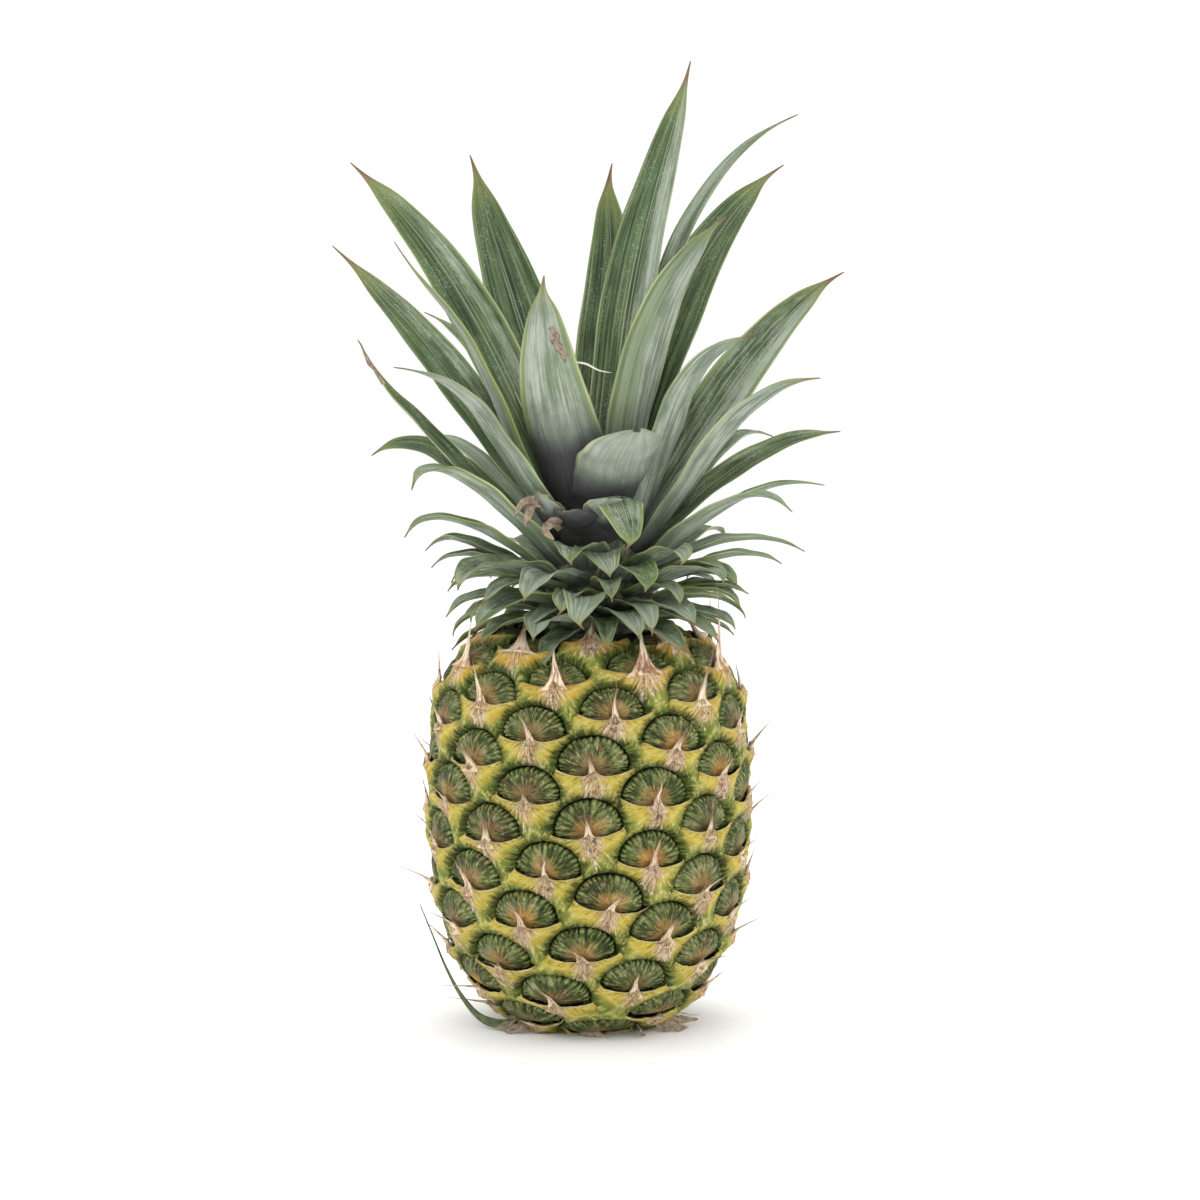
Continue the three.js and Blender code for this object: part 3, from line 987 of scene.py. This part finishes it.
def leafMidline(leaf):
    # points in the leaf's own upright plane: x out from the stem's axis, y up
    lift, dip = math.radians(leaf["lift"]), math.radians(leaf["dip"])
    height = stem["foot"] + stem["height"] * leaf["share"]
    start = Vector((stemSurface(leaf["share"]) - blade["sunk"], height))
    tip = Vector((leaf["out"], leaf["up"]))
    span = (tip - start).length
    rising = Vector((math.cos(lift), math.sin(lift))) * span * leaf.get("bow", blade["bow"])
    falling = Vector((math.cos(dip), math.sin(dip))) * span * blade["fall"]
    return start, start + rising, tip - falling, tip


def bladeWidth(along, fullness):
    # widest at about a third, and drawn out to a thin dry tail
    low = mix(blade["waist"], 1, ease(along, 0, 0.3))
    tail = mix(1, blade["tail"], ease(along, 0.87, 0.96)) if fullness < 5 else 1
    return low * max(1 - along ** fullness, 0) ** 0.9 * tail


def shapeLeaf(mesh, leaf, layers, luck):
    # a thin slab bent along the midline, with raised margins and a slow twist
    bladeLayer, traitLayer, coatLayer = layers
    addSlab(mesh, blade["columns"], blade["rows"])
    line = leafMidline(leaf)
    turn = math.radians(leaf["turn"])
    roll = math.radians(leaf.get("roll", 0))
    channel = leaf.get("channel", blade["channel"])
    fullness = leaf.get("fullness", blade["fullness"])
    wavy = luck.uniform(0, 50)
    tint, dry = luck.random(), luck.uniform(0.1, 0.9)
    coat = Vector((luck.uniform(0.2, 1), luck.uniform(-0.7, 0.7), luck.uniform(0, 0.6)))
    hook = luck.uniform(-2.5, 2.5)
    dry = leaf.get("dry", dry)
    hook = leaf.get("hook", hook)
    if "silver" in leaf:
        coat = Vector((leaf["silver"], leaf.get("half", 0), leaf.get("lime", 0)))
    trait = Vector((tint + 0.01, dry, leaf.get("dusk", 0)))
    for vert in mesh.verts:
        if vert[traitLayer].length > 0:  # a leaf that is done already
            continue
        across, along, under = vert.co.x, (vert.co.y + 1) / 2, isUnder(vert)
        ragged = 0.5 + lump(across * 2.2, wavy, 3)
        ragged += 0.3 * lump(across * 9, wavy, 7)
        along *= 1 - leaf.get("torn", 0) * ragged
        middle = bezierPoint(line, along)
        ahead = bezierPoint(line, min(along + 0.01, 1)) - bezierPoint(line, max(along - 0.01, 0))
        heading = ahead.normalized()
        half = max(leaf["width"] * bladeWidth(along, fullness), 0.5) / 2
        edgeThin = 1 - blade["edgeThinner"] * across ** 4
        thick = blade["thickness"] * (1 - blade["tipThinner"] * along) * edgeThin
        curl = channel * half * (abs(across) ** blade["channelPower"])
        wave = math.sin(along * 13 + wavy) + 0.6 * math.sin(along * 29 + wavy * 3)
        ripple = blade["wave"] * half * across * wave * (1 if across > 0 else -0.7)
        lifted = curl + ripple + (0.5 - under) * thick
        twist = roll * min(along * 2, 1)
        sideways = across * half * math.cos(twist) - lifted * math.sin(twist)
        upward = across * half * math.sin(twist) + lifted * math.cos(twist)
        drift = blade["drift"] * lump(along * 2.4, wavy, 0) * along * 2
        bend = max((along - blade["hookFrom"]) / (1 - blade["hookFrom"]), 0) ** 2
        rising = max((along - blade["flickFrom"]) / (1 - blade["flickFrom"]), 0) ** 2
        out = middle.x - heading.y * (upward - abs(hook) * 0.5 * bend)
        rise = middle.y + heading.x * upward + leaf.get("flick", 0) * rising
        sideways += drift + hook * bend
        vert[bladeLayer] = Vector((across, along, under))
        vert[traitLayer] = trait
        vert[coatLayer] = coat
        x = out * math.cos(turn) - sideways * math.sin(turn) + crownAxis
        y = out * math.sin(turn) + sideways * math.cos(turn)
        vert.co = Vector((x, y, rise)) * mm


def makeLeaves(name, rows, look, luck, node=None):
    # one mesh of one or more leaves
    mesh = bmesh.new()
    layers = vertLayers(mesh, "blade", "trait", "coat")
    for row in rows:
        shapeLeaf(mesh, row, layers, luck)
    bmesh.ops.recalc_face_normals(mesh, faces=mesh.faces)
    return finishPiece(name, mesh, look, node)


def makeStem(look):
    outline = [(0, 0)]
    for step in range(stem["rings"]):
        share = step / stem["rings"]
        ripple = stem["ripple"] * math.sin(share * 60)
        outline.append((stemSurface(share) + ripple, stem["height"] * share))
    outline.append((0, stem["height"]))
    mesh = spinOutline(outline, stem["steps"], stem["foot"])
    bmesh.ops.translate(mesh, verts=mesh.verts, vec=(crownAxis * mm, 0, 0))
    return finishPiece("stem", mesh, look, "crown_stem")


print("making the crown")
makeStem(makeStemFinish())
leafLook = makeLeafFinish()
for index, leaf in enumerate(leaves + farLeaves()):
    number = f"{index + 1:02d}"
    luck = random.Random(100 + index)
    piece = makeLeaves(f"leaf_{number}", [leaf], leafLook, luck, f"crown_leaf_{number}")
    smooth = piece.modifiers.new("smooth", "SUBSURF")
    smooth.levels = smooth.render_levels = 1


# The short dry-tipped leaves that close the gap between the crown and the shoulder

collar = {
    "count": 34,
    "firstTurn": 250,
    "turnStep": 137.5,
    "turnLuck": 6,
    "share": (0.02, 0.4),  # from the lowest leaf to the highest
    "lift": (6, 34),
    "up": (147, 176),
    "upLuck": 3,
    "out": (50, 59),
    "topOut": 4,
    "ranges": dict(
        dip=(-75, -35), width=(10, 16), dry=(0.2, 1.6), silver=(0.3, 1.1), half=(-0.8, 0.8),
        lime=(0.2, 0.9),
    ),
}


def collarLeaves(luck):
    # each leaf draws its luck just before it is shaped
    for index in range(collar["count"]):
        climb = index / collar["count"]
        turn = collar["firstTurn"] + collar["turnStep"] * index
        yield dict(
            turn=turn + luck.uniform(-collar["turnLuck"], collar["turnLuck"]),
            share=mix(*collar["share"], climb),
            out=luck.uniform(*collar["out"]) + collar["topOut"] * climb,
            up=mix(*collar["up"], climb) + luck.uniform(-collar["upLuck"], collar["upLuck"]),
            lift=mix(*collar["lift"], climb),
            **{key: luck.uniform(*ends) for key, ends in collar["ranges"].items()},
        )


# Broken leaf bases in the middle of the crown, smooth and dusky purple, with painted shade
sheaths = [
    leafRow(275, 0.7, 38, 211, 72, 60, 16, channel=0.5, fullness=8, dusk=1, silver=0.5, dry=-2,
            hook=0, torn=0.05),
    leafRow(248, 0.66, 37, 206, 70, 62, 20, channel=0.5, fullness=7, dusk=2.6, silver=0.3, dry=-2,
            hook=0, torn=0.08),
    leafRow(232, 0.62, 40, 214, 64, 70, 15, channel=0.5, fullness=3, dusk=1.6, silver=0.3, dry=0.5,
            hook=3),
]

# The youngest leaves, which stand close together over the end of the stem
heart = {
    "count": 9,
    "turnStep": 137.5,
    "share": (0.97, 0.88),  # from the youngest leaf to the oldest
    "out": (8, 24),
    "up": (206, 234),
    "lift": (88, 80),
    "dip": (66, 86),
    "width": (9, 15),
    "dusk": 0.1,
}


def heartLeaves(luck):
    for index in range(heart["count"]):
        age = index / (heart["count"] - 1)
        grown = {key: mix(*heart[key], age) for key in ("share", "out", "up", "lift", "width")}
        turn, dip = heart["turnStep"] * index, luck.uniform(*heart["dip"])
        yield dict(turn=turn, dip=dip, dusk=heart["dusk"], **grown)


print("making the collar and the heart")
collarLuck, heartLuck = random.Random(31), random.Random(59)
makeLeaves("collar_leaves", collarLeaves(collarLuck), leafLook, collarLuck)
makeLeaves("leaf_sheaths", sheaths, leafLook, random.Random(47))
makeLeaves("heart_leaves", heartLeaves(heartLuck), leafLook, heartLuck)


# Narrow strips: the strap leaf at the cut, and the dry scraps of the crown and the foot

strap = {
    "width": 3.8,
    "thickness": 0.8,
    "route": [
        (-28, -22, 4), (-36, -19, 3), (-43, -16, 5.5), (-50, -12, 13), (-56, -8, 23),
        (-61.5, -5, 35.5), (-66.5, -3, 47),
    ],
}

strip = {
    "columns": 4,
    "rows": 36,
    "thickness": 0.5,
    "tipThinner": 0.6,
    "hollow": 0.25,
    "fullness": 2.6,
    "scrapRows": 14,
    "scrapCrumple": 0.7,
}

crownScraps = [
    dict(width=7, route=[(-11, -22, 204), (-17, -28, 208), (-22, -33, 206), (-24, -36, 199)]),
    dict(width=4, route=[(-14, -24, 205), (-21, -30, 209), (-26, -34, 207), (-28, -36, 203)]),
    dict(width=5, route=[(-10, -26, 200), (-14, -33, 200), (-16, -38, 198), (-13, -41, 195)]),
    dict(width=4, route=[(-14, -35.2, 275), (-12.5, -33.8, 270.5), (-10, -32.2, 266),
                         (-8.6, -30.8, 261.5)]),
    dict(width=5, route=[(-78, -22.5, 253), (-82, -23.5, 259), (-85, -24.2, 265), (-88, -25, 270)]),
    dict(width=10, route=[(20, 3, 192), (34, 5, 212), (46, 7, 230), (53, 8, 241)]),
]

fibre = dict(width=0.8,
             route=[(-5, -28, 261.5), (-1, -30, 261), (4, -29.5, 258.5), (9, -28, 257.5)])

footScraps = [
    dict(width=5, route=[(25, -20, 5), (29, -21, 3), (34, -20.5, 1.8), (39, -19, 1.2)]),
    dict(width=4, route=[(28, -17, 6), (33, -17, 4.5), (38, -15, 3.5), (43, -12, 3)]),
    dict(width=3, route=[(19, -25, 3), (20, -28, 2), (20.5, -31, 1.2), (22, -33, 1.6)]),
    dict(width=5, route=[(-3, -27, 2.5), (0, -29, 1.5), (3, -30, 0.9), (6, -29.5, 0.9)]),
    dict(width=5, route=[(-26, -19, 6), (-29, -21, 5), (-32, -22, 3), (-36, -22, 2)]),
    dict(width=4, route=[(-23, -22, 4), (-26, -24, 3), (-30, -25, 1.5), (-33, -25, 1)]),
]


def routePoint(points, share):
    # a smooth curve through the points
    place = share * (len(points) - 1)
    first = min(int(place), len(points) - 2)
    rest = place - first
    a = points[max(first - 1, 0)]
    b, c = points[first], points[first + 1]
    d = points[min(first + 2, len(points) - 1)]
    bend = (2 * a - 5 * b + 4 * c - d) * rest * rest + (3 * b - a - 3 * c + d) * rest ** 3
    return b + ((c - a) * rest + bend) / 2


def addStrip(mesh, bladeLayer, piece, rows, crumple):
    # a thin ribbon along a route, broad side outwards, ending in a point
    before = len(mesh.verts)
    addSlab(mesh, strip["columns"], rows)
    mesh.verts.ensure_lookup_table()
    points = [Vector(point) for point in piece["route"]]
    kind = points[0].x  # makes each ribbon crumple in its own way
    for vert in mesh.verts[before:]:
        across, along, under = vert.co.x, (vert.co.y + 1) / 2, isUnder(vert)
        middle = routePoint(points, along)
        ahead = routePoint(points, min(along + 0.02, 1)) - routePoint(points, max(along - 0.02, 0))
        heading = ahead.normalized()
        outward = Vector((middle.x, middle.y, 0)).normalized()
        sideways = heading.cross(outward).normalized()
        face = sideways.cross(heading)
        shape = mix(0.75, 1, ease(along, 0, 0.25)) * max(1 - along ** strip["fullness"], 0.03)
        half = piece["width"] / 2 * shape
        thick = piece.get("thickness", strip["thickness"]) * (1 - strip["tipThinner"] * along)
        crease = crumple * half * lump(across * 1.2, along * 4, kind)
        lifted = strip["hollow"] * half * across * across + crease + (0.5 - under) * thick
        half *= 1 + crumple * lump(across, along * 6, kind + 5)
        vert[bladeLayer] = Vector((across, along, under))
        place = middle + sideways * across * half + face * lifted
        place.z = max(place.z, floorGap)
        vert.co = place * mm


def makeStrips(name, pieces, look, node=None, rows=strip["rows"], crumple=0):
    mesh = bmesh.new()
    bladeLayer, = vertLayers(mesh, "blade")
    for piece in pieces:
        addStrip(mesh, bladeLayer, piece, rows, crumple)
    bmesh.ops.recalc_face_normals(mesh, faces=mesh.faces)
    return finishPiece(name, mesh, look, node)


print("making the strap leaf and the scraps")
strapLook = makeDryFinish("strap leaf", tone(112, 128, 84), tone(44, 58, 40))
scrapLook = makeDryFinish("dry scrap", tone(190, 174, 150), tone(92, 70, 56))
fibreLook = makeDryFinish("leaf fibre", tone(240, 238, 228), tone(206, 202, 184))
scrapShape = {"rows": strip["scrapRows"], "crumple": strip["scrapCrumple"]}
makeStrips("strap_leaf", [strap], strapLook, "stalk_leaf")
makeStrips("crown_scraps", crownScraps, scrapLook, **scrapShape)
makeStrips("leaf_fibre", [fibre], fibreLook)
makeStrips("foot_scraps", footScraps, scrapLook, **scrapShape)


# The studio

studio = {
    "elevation": 7,
    "lens": 120,
    "frameWidth": 468,
    "target": (4.3, 0, 167),
    "sky": 1.06,
    "floorSize": 6,
    "softboxes": [
        dict(name="key", place=(-0.7, -1.1, 1.1), size=0.9, power=5.8),
        dict(name="fill", place=(1.0, -0.9, 0.5), size=0.9, power=3),
        dict(name="left", place=(-1.3, 0.2, 0.4), size=0.8, power=4),
        dict(name="right", place=(1.3, 0.2, 0.4), size=0.8, power=4),
        dict(name="top", place=(0, 0.5, 1.5), size=0.8, power=6),
    ],
}


def aim(thing, target):
    thing.rotation_euler = (Vector(target) - thing.location).to_track_quat("-Z", "Y").to_euler()


def addSoftbox(target, name, place, size, power):
    light = bpy.data.lights.new(name, "AREA")
    light.shape = "SQUARE"
    light.size = size
    light.energy = power
    lamp = bpy.data.objects.new(name, light)
    lamp.location = place
    bpy.context.scene.collection.objects.link(lamp)
    aim(lamp, target)


def setStudio():
    scene = bpy.context.scene
    scene.view_settings.view_transform = "Standard"
    world = bpy.data.worlds.new("studio")
    world.use_nodes = True
    sky = world.node_tree.nodes["Background"]
    sky.inputs["Color"].default_value = (1, 1, 1, 1)
    sky.inputs["Strength"].default_value = studio["sky"]
    scene.world = world
    middle = Vector((0, 0, cadBox[1].z / 2))
    for softbox in studio["softboxes"]:
        addSoftbox(middle, **softbox)

    mesh = bmesh.new()
    bmesh.ops.create_grid(mesh, x_segments=1, y_segments=1, size=studio["floorSize"])
    data = bpy.data.meshes.new("floor")
    mesh.to_mesh(data)
    mesh.free()
    floor = bpy.data.objects.new("floor", data)
    scene.collection.objects.link(floor)
    look = Finish("floor", Base_Color=(0.96, 0.96, 0.96, 1), Roughness=0.8)
    data.materials.append(look.material)

    camera = bpy.data.cameras.new("camera")
    camera.lens = studio["lens"]
    camera.clip_end = 50
    eye = bpy.data.objects.new("camera", camera)
    target = Vector(studio["target"]) * mm
    distance = studio["frameWidth"] * mm * camera.lens / camera.sensor_width
    slope = math.radians(studio["elevation"])
    eye.location = target + Vector((0, -math.cos(slope), math.sin(slope))) * distance
    scene.collection.objects.link(eye)
    aim(eye, target)
    scene.camera = eye


print("setting the studio")
setStudio()

print("done")
